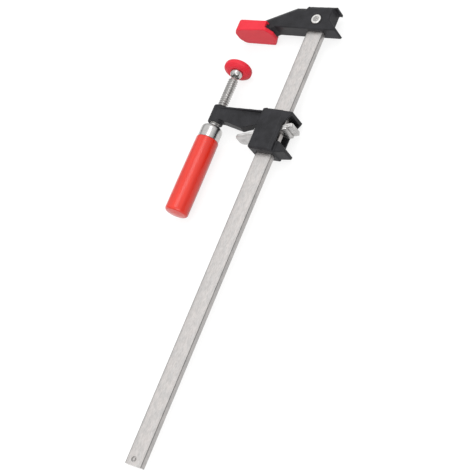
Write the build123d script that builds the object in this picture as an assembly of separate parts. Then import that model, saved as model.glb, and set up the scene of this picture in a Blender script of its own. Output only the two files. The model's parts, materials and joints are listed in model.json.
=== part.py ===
"""Quick release bar clamp: a flat steel bar, a fixed jaw riveted to its end, and a
sliding arm with a clutch of tilted plates, a screw, a swivel pad and a turned handle.

Millimetres. The clamp lies on its side: X runs from the clamping axis towards the bar,
Y runs along the bar towards the fixed jaw, and Z is up, across the bar's flat faces.
The origin is the middle of the fixed jaw's clamping face, on the screw's axis."""
from build123d import *
from math import atan2, cos, degrees, hypot, radians, sin, tan
import os

os.makedirs("parts", exist_ok=True)

# ---- bar
THROAT = 63.5
BAR_WIDTH = 19.05
BAR_THICK = 6.35
BAR_LENGTH = 491.0
BAR_CORNER = 0.9
BAR_TOP = 33.9
STAMP_RADIUS = 2.0
STAMP_RING = 0.8
STAMP_DEPTH = 0.25
STAMP_FROM_END = 11.0
STAMP_FROM_EDGE = 6.5

BAR_X = THROAT + BAR_WIDTH / 2
BAR_FRONT = BAR_X - BAR_WIDTH / 2
BAR_BACK = BAR_X + BAR_WIDTH / 2
BAR_END = BAR_TOP - BAR_LENGTH

# ---- fixed jaw, measured from the bar's centre line and from the clamping face
JAW_HALF = 8.7
JAW_UNDER = 11.5
JAW_UNDER_SLOPE = 1.5
HEAD_TOP = 38.6
HEAD_TOP_SLOPE = 3.0
HEAD_FRONT = 15.2
HEAD_STEP = 2.3
HEAD_STEP_LONG = 1.5
HEAD_BACK = 17.6
HEAD_LIP = 2.2
NOTCH_BACK = 13.3
NOTCH_RISE = 12.6
HEEL_REACH = 25.9
HEEL_LIFT = 1.8
HEEL_BEVEL = 1.0
ARM_KNEE = 28.5
ARM_TOP_SLOPE = 28.8
JAW_EDGE = 0.8
JAW_SLANT_WIDE = 4.0
JAW_SLANT_DEEP = 2.0
POCKET_CLEAR = 0.08
POCKET_ROOM = 0.4

# ---- anvil inside the pad, and the pad
PAD_TOE_IN = 3.4
PAD_REACH = 18.9
PAD_ROOT = 27.0
PAD_ROOT_SIDE = 21.2
PAD_ROOT_FLAT = 5.4
PAD_NOSE_HALF = 5.2
PAD_CHEEK = 4.7
PAD_CHEEK_HALF = 12.9
PAD_ROOT_HALF = 15.0
PAD_HEIGHT = 12.4
PAD_SOLE = 3.6
PAD_WALL = 2.6
PAD_ROOF = 2.2
PAD_EDGE = 1.2
PAD_NOSE_BEND = 6.0
PAD_ROOT_BEND = 2.5
PAD_CLEAR = 0.06
ANVIL_STEP = 2.0
ANVIL_TIP_DROP = 1.0
NOSE_INSET = 0.4
ROOT_INSET = 0.6
MOUTH_AHEAD = 3.0
CHEEK_END = -1.0

# ---- rivet
RIVET_Y = 22.2
RIVET_SHANK = 3.6
RIVET_HEAD = 5.3
RIVET_HEAD_HIGH = 1.9
RIVET_EDGE = 0.6
RIVET_CLEAR = 0.05

# ---- sliding arm: the sleeve is measured from the bar's centre line and from its foot
SLEEVE_FOOT = -129.9
SLEEVE_HIGH = 44.9
SLEEVE_FRONT = 15.8
SLEEVE_BACK = 12.2
SLEEVE_HALF = 12.2
SLEEVE_WALL = 2.4
SLEEVE_ROOF = 3.3
ROOF_BACK = 19.0
ROOF_TIP = 1.0
ROOF_GUSSET = 11.0
BLOCK_HIGH = 12.3
SLOT_FLOOR = 14.3
SLOT_CEILING = 29.4
PANEL_FRONT = 9.2
PANEL_BACK = 8.4
PANEL_PROUD = 0.5
FOOT_REACH = 25.7
FOOT_HALF = 9.0
FOOT_LIFT = 2.6
FOOT_TIP = 2.6
FOOT_RISE = 13.2
SLIDE_CLEAR = 0.12
SLEEVE_EDGE = 0.6
SLEEVE_LOW_FRONT = 1.2
SLEEVE_LOW_SIDE = 1.5
SLEEVE_LOW_HIGH = 2.4
PANEL_BEVEL = 0.4
FOOT_STEP = 0.9
FOOT_TIP_FRONT = 0.7
FOOT_ROOT = 2.2
NUB_LONG = 3.4
NUB_HIGH = 1.1
NUB_HALF = 11.2
NUB_FROM_FRONT = 1.7
NUB_SINK = 1.0
NUB_BEVEL = 0.6

BOSS_RADIUS = 7.9
BOSS_TOP = 44.1
BOSS_BOTTOM = 25.1
BOSS_EDGE = 0.8
ARM_TOP_BOSS = 42.0
ARM_TOP_ROOT = 44.3
FLANGE_HALF = 7.8
FLANGE_THICK = 1.7
WEB_HALF_BOSS = 6.8
WEB_HALF_ROOT = 4.1
ARM_BELLY_X = 34.8
ARM_BELLY = 22.9
ARM_UNDER_BOSS = 28.2
ROOT_LONG = 5.6
ROOT_HALF = 9.6
ARM_OVERLAP = 1.0

# ---- clutch plates
PLATE_THICK = 2.0
PLATE_GAP = 0.02
PLATE_TILT = 16.5
PLATE_HALF = 9.4
PLATE_MIDDLE = 24.6
PLATE_BITE = 0.12
PLATE_WINDOW_SIDE = 0.35
PLATE_FRONT = 19.4
UPPER_BACK = 22.9
MIDDLE_BACK = 23.8
RELEASE_BACK = 18.2
TAB_REACH = 39.2
TAB_CORNER = 6.0
PLATE_CORNER = 1.6

# ---- clutch spring
SPRING_RADIUS = 2.5
SPRING_WIRE = 0.4
SPRING_TURNS = 5.5
SPRING_FORWARD = 15.3
SPRING_BORE_CLEAR = 0.5
SPRING_HIGH = 14.1
SPRING_SEAT = 0.05

# ---- screw
SCREW_RADIUS = 5.15
SCREW_ROOT = 4.0
SCREW_PITCH = 2.54
THREAD_GAP = 0.7
THREAD_FLANK = 0.6
SCREW_CLEAR = 0.06
THREAD_TOP = -53.5
THREAD_BOTTOM = -104.6
CONE_TOP_RADIUS = 2.7
CONE_HIGH = 5.0
BALL_Y = -44.8
BALL_RADIUS = 3.6
NECK_RADIUS = 2.2
COLLAR_RADIUS = 4.7
TANG_RADIUS = 4.0
TANG_LONG = 52.0

# ---- swivel pad, about the ball's centre
PAD_TILT = 12.0
TILT_AXIS_X = -0.786
TILT_AXIS_Z = 0.618
DISC_RADIUS = 14.7
DISC_BACK = 2.4
DISC_FRONT = 7.8
DISC_EDGE = 1.4
DISC_CONE = 1.5
DISC_FLAT = 10.8
DISC_RIM_HIGH = 1.2
SOCKET_RADIUS = 6.4
SOCKET_LIP_RADIUS = 5.3
SOCKET_LIP = 4.2
SOCKET_WRAP = 1.7
SOCKET_RIM = 0.7
SOCKET_FLANGE_RADIUS = 9.6
SOCKET_FLANGE = 1.4
SOCKET_WALL_TOP = 1.9
SOCKET_LIP_HIGH = 2.2
SOCKET_CROWN = 1.6
SOCKET_CROWN_STEP = 0.4
BALL_CLEAR = 0.08
RING_RADIUS = 2.75
RING_HALF = 0.3
RING_CLEAR = 0.04
RING_DEPTH = 3.37

# ---- ferrule and handle
FERRULE_RADIUS = 11.2
FERRULE_TOP = -108.6
FERRULE_SHOULDER = 4.2
FERRULE_SKIRT = 11.0
FERRULE_WALL = 0.9
HANDLE_LENGTH = 98.6
HANDLE_TOP_RADIUS = 12.0
HANDLE_END_RADIUS = 12.4
HANDLE_DOME = 1.4
HANDLE_EDGE = 2.2
SPIGOT_STEP = 0.3
TANG_ROOM = 1.0
HANDLE_HOLE_CLEAR = 0.03
GLUE_LINE = 0.04


def write(solid, name):
    """Writes one node."""
    export_step(solid, f"parts/{name}.step")


def slab(points, low, high):
    """A side view (X, Y), thickened from low to high along Z."""
    face = make_face(Polyline(*points, close=True))
    return Pos(0, 0, low) * extrude(face, amount=high - low)


def plan(points, low, high):
    """A top view (X, Z), thickened along Y from low to high."""
    outline = Polyline(*[(x, 0, z) for x, z in points], close=True)
    return Pos(0, low, 0) * extrude(make_face(outline), amount=high - low, dir=(0, 1, 0))


def block(x0, x1, y0, y1, half):
    """A box between two X and two Y, centred on the bar's middle plane."""
    return Pos((x0 + x1) / 2, (y0 + y1) / 2, 0) * Box(x1 - x0, y1 - y0, 2 * half)


def turned(points):
    """A (radius, Y) profile turned about the screw's axis."""
    return revolve(make_face(Polyline(*points, close=True)), Axis.Y)


def round_corner(x, y, radius, up, out):
    """A quarter circle about (x, y), from its outer side to its upper or lower side."""
    half = radius * cos(radians(45))
    outer = (x + radius * out, y)
    middle = (x + half * out, y + half * up)
    return ThreePointArc(outer, middle, (x, y + radius * up))


def along_y(radius, y0, y1, x=0.0):
    """A cylinder along Y."""
    return Pos(x, (y0 + y1) / 2, 0) * Rot(90, 0, 0) * Cylinder(radius, y1 - y0)


def bar():
    """The flat bar, with a plain punched ring near its free end."""
    y_mid = BAR_TOP - BAR_LENGTH / 2
    solid = Pos(BAR_X, y_mid, 0) * Box(BAR_WIDTH, BAR_LENGTH, BAR_THICK)
    solid = fillet(solid.edges().filter_by(Axis.Y), BAR_CORNER)
    hole = Cylinder(RIVET_SHANK + RIVET_CLEAR, 2 * BAR_THICK)
    stamp = Cylinder(STAMP_RADIUS, 2 * STAMP_DEPTH)
    stamp = stamp - Cylinder(STAMP_RADIUS - STAMP_RING, 2 * STAMP_DEPTH)
    stamp_at = Pos(BAR_FRONT + STAMP_FROM_EDGE, BAR_END + STAMP_FROM_END, BAR_THICK / 2)
    return solid - Pos(BAR_X, RIVET_Y, 0) * hole - stamp_at * stamp


def jaw_under(x):
    """Height of the jaw's underside over x."""
    return JAW_UNDER + (x - BAR_X) * tan(radians(JAW_UNDER_SLOPE))


def head_top(x):
    """Height of the head's top over x."""
    return HEAD_TOP + (x - BAR_X) * tan(radians(HEAD_TOP_SLOPE))


def sole(x):
    """Height of the clamping face over x: it is toed in towards the tip."""
    return x * tan(radians(PAD_TOE_IN))


def arm_top_point(y):
    """The point of the jaw's sloping top at height y."""
    knee_x = BAR_X - ARM_KNEE
    knee_y = head_top(knee_x) - HEAD_STEP
    return (knee_x - (knee_y - y) / tan(radians(ARM_TOP_SLOPE)), y)


def pad_outline(inset):
    """Top view of the pad, moved inwards by inset."""
    nose = -PAD_REACH + inset
    cheek = nose + PAD_CHEEK
    side = PAD_ROOT_SIDE - inset * ROOT_INSET
    root = PAD_ROOT - inset
    nose_half = PAD_NOSE_HALF - inset * NOSE_INSET
    cheek_half = PAD_CHEEK_HALF - inset
    root_half = PAD_ROOT_HALF - inset
    near = [(nose, nose_half), (cheek, cheek_half), (side, root_half), (root, PAD_ROOT_FLAT)]
    far = [(x, -z) for x, z in reversed(near)]
    return near + far


def anvil(grow):
    """The wide end of the casting that the pad slips over."""
    body = plan(pad_outline(PAD_WALL - grow), -PAD_HEIGHT, 2 * PAD_HEIGHT)
    left = -PAD_REACH
    right = PAD_ROOT - PAD_WALL + grow
    low = PAD_SOLE - grow
    top = PAD_HEIGHT - PAD_ROOF + grow
    side = [
        (left, sole(left) + low),
        (right, sole(right) + low),
        (right, top),
        (left, top),
    ]
    return body & slab(side, -2 * PAD_ROOT_HALF, 2 * PAD_ROOT_HALF)


def jaw_arm():
    """The jaw's arm and head in side view, from the anvil to the heel."""
    tip = arm_top_point(PAD_HEIGHT - PAD_ROOF - ANVIL_TIP_DROP)
    knee_x = BAR_X - ARM_KNEE
    step_x = BAR_X - HEAD_FRONT
    back = BAR_X + HEAD_BACK
    notch = BAR_X + NOTCH_BACK
    heel = BAR_X + HEEL_REACH
    points = [
        (tip[0], PAD_SOLE + ANVIL_STEP),
        (PAD_ROOT - PAD_WALL - ANVIL_STEP, sole(PAD_ROOT) + PAD_SOLE + ANVIL_STEP),
        (PAD_ROOT, jaw_under(PAD_ROOT)),
        (heel - HEEL_BEVEL, jaw_under(heel)),
        (heel, jaw_under(heel) + HEEL_LIFT),
        (notch, jaw_under(notch) + NOTCH_RISE),
        (notch, head_top(notch) - HEAD_LIP),
        (back, head_top(back) - HEAD_LIP),
        (back, head_top(back)),
        (step_x, head_top(step_x)),
        (step_x - HEAD_STEP_LONG, head_top(step_x) - HEAD_STEP),
        (knee_x, head_top(knee_x) - HEAD_STEP),
        tip,
    ]
    return slab(points, -JAW_HALF, JAW_HALF)


def rim_wedge(start, end):
    """What slants a face's upper rim off between two points of the jaw's top."""
    rise = end[1] - start[1]
    run = end[0] - start[0]
    wide, deep = JAW_SLANT_WIDE, JAW_SLANT_DEEP
    corner = [
        (wide / 2, JAW_HALF - 1.5 * deep),
        (wide / 2, JAW_HALF + deep / 2),
        (-1.5 * wide, JAW_HALF + deep / 2),
    ]
    wedge = extrude(Plane.YZ * Polygon(*corner, align=None), hypot(run, rise))
    near = Pos(start[0], start[1], 0) * Rot(0, 0, degrees(atan2(rise, run))) * wedge
    return near + mirror(near, Plane.XY)


def rim_wedges():
    """The slants along the arm's slope, its flat, and the head."""
    knee_x = BAR_X - ARM_KNEE
    step_x = BAR_X - HEAD_FRONT
    low_x = step_x - HEAD_STEP_LONG
    back = BAR_X + HEAD_BACK
    knee = (knee_x, head_top(knee_x) - HEAD_STEP)
    slope = rim_wedge(arm_top_point(PAD_HEIGHT), knee)
    flat = rim_wedge(knee, (low_x, head_top(low_x) - HEAD_STEP))
    head = rim_wedge((step_x, head_top(step_x)), (back, head_top(back)))
    return slope + flat + head


def fixed_jaw():
    """The cast jaw: anvil, arm, head with the bar's pocket, and heel."""
    arm = jaw_arm()
    faces = arm.edges().group_by(Axis.Z)
    arm = chamfer(faces[0] + faces[-1], JAW_EDGE)
    body = arm - rim_wedges() + anvil(0)
    x0 = BAR_FRONT - POCKET_CLEAR
    x1 = BAR_BACK + POCKET_CLEAR
    pocket = block(x0, x1, 0, BAR_TOP + POCKET_ROOM, BAR_THICK / 2 + POCKET_CLEAR)
    hole = Pos(BAR_X, RIVET_Y, 0) * Cylinder(RIVET_SHANK + RIVET_CLEAR, 4 * JAW_HALF)
    return body - pocket - hole


def jaw_rivet():
    """A solid rivet through the head and the bar."""
    shank = Cylinder(RIVET_SHANK, 2 * JAW_HALF)
    head = Pos(0, 0, JAW_HALF + RIVET_HEAD_HIGH / 2) * Cylinder(RIVET_HEAD, RIVET_HEAD_HIGH)
    head = fillet(head.edges().group_by(Axis.Z)[-1], RIVET_EDGE)
    return Pos(BAR_X, RIVET_Y, 0) * (shank + head + mirror(head, Plane.XY))


def jaw_pad():
    """The soft pad: a boot over the anvil, open where the arm comes out."""
    side = [
        (-2 * PAD_REACH, sole(-2 * PAD_REACH)),
        (2 * PAD_ROOT, sole(2 * PAD_ROOT)),
        (2 * PAD_ROOT, PAD_HEIGHT),
        (-2 * PAD_REACH, PAD_HEIGHT),
    ]
    body = plan(pad_outline(0), -PAD_HEIGHT, 2 * PAD_HEIGHT)
    body = fillet(body.edges().filter_by(Axis.Y).sort_by(Axis.X)[:4], PAD_NOSE_BEND)
    body = fillet(body.edges().filter_by(Axis.Y).sort_by(Axis.X)[-4:], PAD_ROOT_BEND)
    body = body & slab(side, -2 * PAD_ROOT_HALF, 2 * PAD_ROOT_HALF)
    body = fillet(body.edges(), PAD_EDGE)
    mouth_x = arm_top_point(PAD_HEIGHT - PAD_ROOF)[0] - MOUTH_AHEAD
    low = PAD_SOLE - PAD_CLEAR
    mouth = slab(
        [
            (mouth_x, sole(mouth_x) + low),
            (2 * PAD_ROOT, sole(2 * PAD_ROOT) + low),
            (2 * PAD_ROOT, 2 * PAD_HEIGHT),
            (mouth_x, 2 * PAD_HEIGHT),
        ],
        -JAW_HALF - PAD_CLEAR,
        JAW_HALF + PAD_CLEAR,
    )
    cheek_end = PAD_ROOT_SIDE + CHEEK_END
    above_lip = slab(
        [
            (cheek_end, sole(cheek_end) + low),
            (2 * PAD_ROOT, sole(2 * PAD_ROOT) + low),
            (2 * PAD_ROOT, 2 * PAD_HEIGHT),
            (cheek_end, 2 * PAD_HEIGHT),
        ],
        -2 * PAD_ROOT_HALF,
        2 * PAD_ROOT_HALF,
    )
    return body - anvil(PAD_CLEAR) - mouth - above_lip


def sleeve_y(height):
    """A height above the sleeve's foot, in the clamp's frame."""
    return SLEEVE_FOOT + height


def sleeve_shell():
    """The sleeve round the bar: side walls, roof, foot block and raised panels."""
    front = BAR_X - SLEEVE_FRONT
    back = BAR_X + SLEEVE_BACK
    roof_back = BAR_X + ROOF_BACK
    y0 = sleeve_y(0)
    y1 = sleeve_y(SLEEVE_HIGH)
    roof = y1 - SLEEVE_ROOF
    points = [
        (front + SLEEVE_LOW_FRONT, y0),
        (back, y0),
        (back, roof - ROOF_GUSSET),
        (roof_back - ROOF_TIP, roof),
        (roof_back, y1),
        (front, y1),
        (front, y0 + SLEEVE_LOW_FRONT),
    ]
    shell = slab(points, -SLEEVE_HALF, SLEEVE_HALF)
    rims = shell.edges().group_by(Axis.Z)
    shell = chamfer(rims[0] + rims[-1], SLEEVE_EDGE)
    panel = block(BAR_X - PANEL_FRONT, BAR_X + PANEL_BACK, y0, y1, SLEEVE_HALF + PANEL_PROUD)
    panel_rims = panel.edges().group_by(Axis.Z)
    panel = chamfer(panel_rims[0] + panel_rims[-1], PANEL_BEVEL)
    return shell + panel - low_bevels()


def low_bevels():
    """What is taken off along the sleeve's two lower side edges."""
    outer = SLEEVE_HALF + 2 * PANEL_PROUD
    inner = SLEEVE_HALF - SLEEVE_LOW_SIDE
    profile = [
        (0, sleeve_y(-SLEEVE_LOW_HIGH), inner),
        (0, sleeve_y(-SLEEVE_LOW_HIGH), outer),
        (0, sleeve_y(SLEEVE_LOW_HIGH), outer),
        (0, sleeve_y(0), inner),
    ]
    face = make_face(Polyline(*profile, close=True))
    near = Pos(BAR_X - 2 * SLEEVE_FRONT, 0, 0) * extrude(face, 4 * SLEEVE_FRONT, dir=(1, 0, 0))
    return near + mirror(near, Plane.XY)


def sleeve_hollow():
    """The chamber that holds the clutch plates, open at the back and at the tab slot."""
    inner = SLEEVE_HALF - SLEEVE_WALL
    bearing = BAR_FRONT - SLIDE_CLEAR
    far_back = BAR_X + 2 * ROOF_BACK
    roof = sleeve_y(SLEEVE_HIGH - SLEEVE_ROOF)
    chamber = block(bearing, far_back, sleeve_y(BLOCK_HIGH), roof, inner)
    slot_front = BAR_X - 2 * SLEEVE_FRONT
    slot = block(slot_front, BAR_X, sleeve_y(SLOT_FLOOR), sleeve_y(SLOT_CEILING), inner)
    return chamber + slot


def foot():
    """The wedge-shaped foot behind the bar."""
    back = BAR_X + SLEEVE_BACK
    tip = BAR_X + FOOT_REACH
    points = [
        (BAR_X, sleeve_y(0)),
        (back, sleeve_y(FOOT_STEP)),
        (tip - FOOT_TIP_FRONT, sleeve_y(FOOT_LIFT)),
        (tip, sleeve_y(FOOT_LIFT + FOOT_TIP)),
        (back + FOOT_ROOT, sleeve_y(FOOT_RISE)),
        (BAR_X, sleeve_y(FOOT_RISE)),
    ]
    solid = slab(points, -FOOT_HALF, FOOT_HALF)
    rims = solid.edges().group_by(Axis.Z)
    return chamfer(rims[0] + rims[-1], SLEEVE_EDGE)


def arm_web():
    """The arm between the screw's boss and the sleeve: flange on top, tapered web below."""
    root = BAR_X - SLEEVE_FRONT - ROOT_LONG
    end = BAR_X - SLEEVE_FRONT + ARM_OVERLAP
    y_boss = sleeve_y(ARM_TOP_BOSS)
    y_root = sleeve_y(ARM_TOP_ROOT)
    under_root = sleeve_y(SLOT_CEILING)
    side = [
        (0, y_boss),
        (0, sleeve_y(ARM_UNDER_BOSS)),
        (BOSS_RADIUS + ARM_OVERLAP, sleeve_y(ARM_UNDER_BOSS)),
        (ARM_BELLY_X, sleeve_y(ARM_BELLY)),
        (root, under_root),
        (end, under_root),
        (end, y_root),
    ]
    outer = [(0, WEB_HALF_BOSS), (root, WEB_HALF_ROOT), (end, ROOT_HALF)]
    inner = [(x, -z) for x, z in reversed(outer)]
    tapered = plan(outer + inner, sleeve_y(0), sleeve_y(2 * SLEEVE_HIGH))
    web = slab(side, -SLEEVE_HALF, SLEEVE_HALF) & tapered
    flange = slab(
        [(0, y_boss), (0, y_boss - FLANGE_THICK), (end, y_root - FLANGE_THICK), (end, y_root)],
        -FLANGE_HALF,
        FLANGE_HALF,
    )
    return web + flange


def boss():
    """The round boss that holds the screw."""
    solid = along_y(BOSS_RADIUS, sleeve_y(BOSS_BOTTOM), sleeve_y(BOSS_TOP))
    return fillet(solid.edges().filter_by(GeomType.CIRCLE), BOSS_EDGE)


def spring_x():
    """The clutch spring's axis, in front of the bar."""
    return BAR_X - SPRING_FORWARD


def sliding_arm():
    """The cast arm: boss, web, sleeve and foot in one piece."""
    front = BAR_X - SLEEVE_FRONT
    y1 = sleeve_y(SLEEVE_HIGH)
    nub_x = front + NUB_FROM_FRONT
    nub = block(nub_x, nub_x + NUB_LONG, y1 - NUB_SINK, y1 + NUB_HIGH, NUB_HALF)
    nub = chamfer(nub.edges().group_by(Axis.Y)[-1], NUB_BEVEL)
    body = sleeve_shell() - sleeve_hollow() + foot() + nub
    body = body + arm_web() + boss()
    x0 = BAR_FRONT - SLIDE_CLEAR
    x1 = BAR_BACK + SLIDE_CLEAR
    half = BAR_THICK / 2 + SLIDE_CLEAR
    way = block(x0, x1, sleeve_y(-SLEEVE_WALL), sleeve_y(2 * SLEEVE_HIGH), half)
    bore = along_y(SCREW_RADIUS + SCREW_CLEAR, sleeve_y(0), sleeve_y(2 * SLEEVE_HIGH))
    spring_top = spring_low() + SPRING_HIGH + SPRING_SEAT
    pocket_radius = SPRING_RADIUS + SPRING_WIRE + SPRING_BORE_CLEAR
    pocket = along_y(pocket_radius, sleeve_y(SLOT_CEILING) - SPRING_WIRE, spring_top, spring_x())
    return body - way - bore - pocket


def plate(order, front, back, corner):
    """One clutch plate, order steps above the middle of the stack, tilted on the bar."""
    tilt = radians(PLATE_TILT)
    long = (BAR_WIDTH + 2 * PLATE_BITE + PLATE_THICK * sin(tilt)) / cos(tilt)
    window = Rectangle(long, BAR_THICK + 2 * PLATE_WINDOW_SIDE)
    blank = Pos((back - front) / 2, 0) * Rectangle(front + back, 2 * PLATE_HALF)
    corners = blank.vertices().group_by(Axis.X)
    blank = fillet(corners[0], corner)
    blank = fillet(blank.vertices().group_by(Axis.X)[-1], PLATE_CORNER)
    flat = extrude(blank - window, amount=PLATE_THICK / 2, both=True)
    step = (PLATE_THICK + PLATE_GAP) / cos(tilt)
    at = Pos(BAR_X, sleeve_y(PLATE_MIDDLE) + order * step, 0)
    return at * Rot(0, 0, PLATE_TILT) * Rot(90, 0, 0) * flat


def spring_low():
    """The lowest point of the clutch spring: just clear of the upper plate's top."""
    step = (PLATE_THICK + PLATE_GAP) / cos(radians(PLATE_TILT))
    face = sleeve_y(PLATE_MIDDLE) + step + PLATE_THICK / 2 / cos(radians(PLATE_TILT))
    high_side = SPRING_FORWARD - SPRING_RADIUS - SPRING_WIRE
    return face - high_side * tan(radians(PLATE_TILT)) + SPRING_SEAT


def clutch_spring():
    """A small compression spring that keeps the plates tilted."""
    height = SPRING_HIGH - 2 * SPRING_WIRE
    pitch = height / SPRING_TURNS
    path = Helix(pitch=pitch, height=height, radius=SPRING_RADIUS)
    start = Plane(path @ 0, z_dir=path % 0)
    coil = sweep(start * Circle(SPRING_WIRE), path=path, is_frenet=True)
    return Pos(spring_x(), spring_low() + SPRING_WIRE, 0) * Rot(-90, 0, 0) * coil


def spindle():
    """The screw: tang, collar, thread, cone, neck and ball, all turned."""
    neck_top = BALL_Y - BALL_RADIUS / 2
    cone_top = THREAD_TOP + CONE_HIGH
    tang_end = THREAD_BOTTOM - TANG_LONG
    points = [(0, neck_top), (NECK_RADIUS, neck_top)]
    points += [(NECK_RADIUS, cone_top), (CONE_TOP_RADIUS, cone_top), (SCREW_ROOT, THREAD_TOP)]
    turns = int((THREAD_TOP - THREAD_BOTTOM) / SCREW_PITCH)
    for turn in range(turns):
        top = THREAD_TOP - turn * SCREW_PITCH
        points.append((SCREW_ROOT, top - THREAD_GAP))
        points.append((SCREW_RADIUS, top - THREAD_GAP - THREAD_FLANK))
        points.append((SCREW_RADIUS, top - SCREW_PITCH + THREAD_FLANK))
        points.append((SCREW_ROOT, top - SCREW_PITCH))
    points += [(SCREW_ROOT, THREAD_BOTTOM), (COLLAR_RADIUS, THREAD_BOTTOM)]
    points += [(COLLAR_RADIUS, FERRULE_TOP), (TANG_RADIUS, FERRULE_TOP)]
    points += [(TANG_RADIUS, tang_end), (0, tang_end)]
    ball = Pos(0, BALL_Y, 0) * Sphere(BALL_RADIUS)
    return turned(points) + ball


def lean(solid):
    """Leans a piece of the swivel pad on the ball, as it hangs at rest."""
    axis = Axis((0, BALL_Y, 0), (TILT_AXIS_X, 0, TILT_AXIS_Z))
    return solid.rotate(axis, PAD_TILT)


def pad_socket():
    """The steel socket crimped round the ball, with the flange that carries the pad."""
    lip = BALL_Y - SOCKET_LIP
    flange_low = BALL_Y + SOCKET_WALL_TOP
    top = BALL_Y + DISC_BACK + SOCKET_FLANGE
    points = [
        (0, lip),
        (SOCKET_LIP_RADIUS, lip),
        (SOCKET_RADIUS, lip + SOCKET_LIP_HIGH),
        (SOCKET_RADIUS, flange_low),
        (SOCKET_FLANGE_RADIUS, BALL_Y + DISC_BACK),
        (SOCKET_FLANGE_RADIUS, top),
        (SOCKET_RADIUS, top),
        (SOCKET_RADIUS - SOCKET_CROWN_STEP, BALL_Y + BALL_RADIUS + SOCKET_CROWN),
        (0, BALL_Y + BALL_RADIUS + SOCKET_CROWN),
    ]
    hollow = Pos(0, BALL_Y, 0) * Sphere(BALL_RADIUS + BALL_CLEAR)
    throat = (BALL_RADIUS**2 - SOCKET_WRAP**2) ** 0.5
    wrap = BALL_Y - SOCKET_WRAP
    mouth = turned([(0, lip), (SOCKET_LIP_RADIUS - SOCKET_RIM, lip), (throat, wrap), (0, wrap)])
    return turned(points) - hollow - mouth


def swivel_pad():
    """The red pad that presses on the work, held on the socket's flange."""
    back = BALL_Y + DISC_BACK
    front = BALL_Y + DISC_FRONT
    points = [
        (0, back - DISC_CONE),
        (DISC_FLAT, back - DISC_CONE),
        (DISC_RADIUS, back + DISC_RIM_HIGH),
        (DISC_RADIUS, front),
        (0, front),
    ]
    disc = turned(points)
    disc = fillet(disc.edges().group_by(Axis.Y)[-1], DISC_EDGE)
    socket = pad_socket_envelope(PAD_CLEAR)
    return disc - socket


def pad_socket_envelope(grow):
    """The room that the socket and its flange take inside the pad."""
    top = BALL_Y + DISC_BACK + SOCKET_FLANGE + grow
    low = BALL_Y + DISC_BACK - grow
    core_top = BALL_Y + BALL_RADIUS + SOCKET_CROWN + grow
    below = BALL_Y - 2 * SOCKET_LIP
    points = [
        (0, below),
        (SOCKET_RADIUS + grow, below),
        (SOCKET_RADIUS + grow, BALL_Y + SOCKET_WALL_TOP - grow),
        (SOCKET_FLANGE_RADIUS + grow, low),
        (SOCKET_FLANGE_RADIUS + grow, top),
        (SOCKET_RADIUS + grow, top),
        (SOCKET_RADIUS - SOCKET_CROWN_STEP + grow, core_top),
        (0, core_top),
    ]
    return turned(points)


def ferrule():
    """The drawn steel ferrule over the handle's upper end."""
    top = FERRULE_TOP
    base = top - FERRULE_SHOULDER - FERRULE_SKIRT
    hole = TANG_RADIUS + HANDLE_HOLE_CLEAR
    inner_edge = FERRULE_RADIUS - FERRULE_SHOULDER
    shoulder = top - FERRULE_SHOULDER
    outer = (
        Line((hole, top), (inner_edge, top))
        + round_corner(inner_edge, shoulder, FERRULE_SHOULDER, 1, 1)
        + Line((FERRULE_RADIUS, top - FERRULE_SHOULDER), (FERRULE_RADIUS, base))
    )
    inner_radius = FERRULE_RADIUS - FERRULE_WALL
    inner = (
        Line((FERRULE_RADIUS, base), (inner_radius, base))
        + Line((inner_radius, base), (inner_radius, top - FERRULE_SHOULDER))
        + round_corner(inner_edge, shoulder, FERRULE_SHOULDER - FERRULE_WALL, 1, 1)
        + Line((inner_edge, top - FERRULE_WALL), (hole, top - FERRULE_WALL))
        + Line((hole, top - FERRULE_WALL), (hole, top))
    )
    return revolve(make_face(outer + inner), Axis.Y)


def handle():
    """The turned handle, with a spigot inside the ferrule and a hole for the tang."""
    top = FERRULE_TOP - FERRULE_WALL - GLUE_LINE
    shoulder = FERRULE_TOP - FERRULE_SHOULDER - SPIGOT_STEP
    base = FERRULE_TOP - FERRULE_SHOULDER - FERRULE_SKIRT - GLUE_LINE
    spigot = FERRULE_RADIUS - FERRULE_WALL - GLUE_LINE
    end = top - HANDLE_LENGTH
    hole = TANG_RADIUS + HANDLE_HOLE_CLEAR
    hole_end = THREAD_BOTTOM - TANG_LONG - TANG_ROOM
    points = [
        (0, hole_end),
        (hole, hole_end),
        (hole, top),
        (spigot - FERRULE_SHOULDER, top),
        (spigot, shoulder),
        (spigot, base),
        (HANDLE_TOP_RADIUS, base),
        (HANDLE_END_RADIUS, end),
        (0, end - HANDLE_DOME),
    ]
    solid = turned(points)
    rims = solid.edges().filter_by(GeomType.CIRCLE).group_by(Axis.Y)
    return fillet(rims[0], HANDLE_EDGE)


def retaining_ring():
    """The split ring in the socket that keeps the ball from pulling out."""
    y = BALL_Y - RING_DEPTH
    outer = Pos(0, y, 0) * Rot(90, 0, 0) * Cylinder(RING_RADIUS, 2 * RING_HALF)
    inner = Pos(0, y, 0) * Rot(90, 0, 0) * Cylinder(NECK_RADIUS + RING_CLEAR, 4 * RING_HALF)
    return outer - inner


if __name__ == "__main__":
    write(bar(), "bar")
    write(fixed_jaw(), "fixed_jaw")
    write(jaw_rivet(), "jaw_rivet")
    write(jaw_pad(), "jaw_pad")
    write(sliding_arm(), "sliding_arm")
    write(plate(1, PLATE_FRONT, UPPER_BACK, PLATE_CORNER), "upper_clutch_plate")
    write(plate(0, PLATE_FRONT, MIDDLE_BACK, PLATE_CORNER), "middle_clutch_plate")
    write(plate(-1, TAB_REACH, RELEASE_BACK, TAB_CORNER), "release_plate")
    write(clutch_spring(), "clutch_spring")
    write(spindle(), "spindle")
    write(lean(pad_socket()), "pad_socket")
    write(lean(swivel_pad()), "swivel_pad")
    write(retaining_ring(), "retaining_ring")
    write(ferrule(), "ferrule")
    write(handle(), "handle")
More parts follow.
